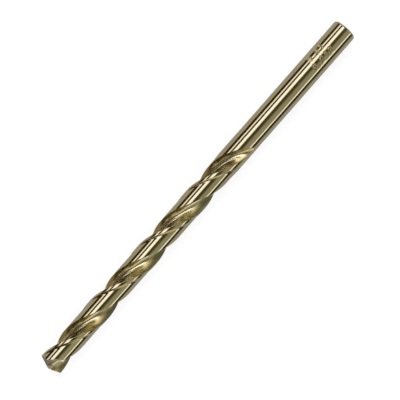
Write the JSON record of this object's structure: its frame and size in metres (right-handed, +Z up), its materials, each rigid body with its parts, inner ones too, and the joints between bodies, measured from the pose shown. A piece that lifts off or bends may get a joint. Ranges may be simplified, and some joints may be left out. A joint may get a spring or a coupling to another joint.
{
  "type": "twist drill bit",
  "caption": "Straight-shank metal-cutting twist drill bit: right-hand helical flutes, ground margins, split point and a plain chamfered shank, in bright straw-tinted steel.",
  "frame": {"origin": "centre of the shank's end face, on the drill's axis", "axes": "+X along the axis from the shank's end to the point, +Z up as the drill lies at rest, +Y to the side"},
  "size_m": [0.0952, 0.0054, 0.0054],
  "materials": {
    "straw_bright_steel": "bright ground high-speed steel with a pale straw heat tint"
  },
  "bodies": {
    "root": {"twist_drill_bit": "straw_bright_steel"}
  },
  "joints": []
}
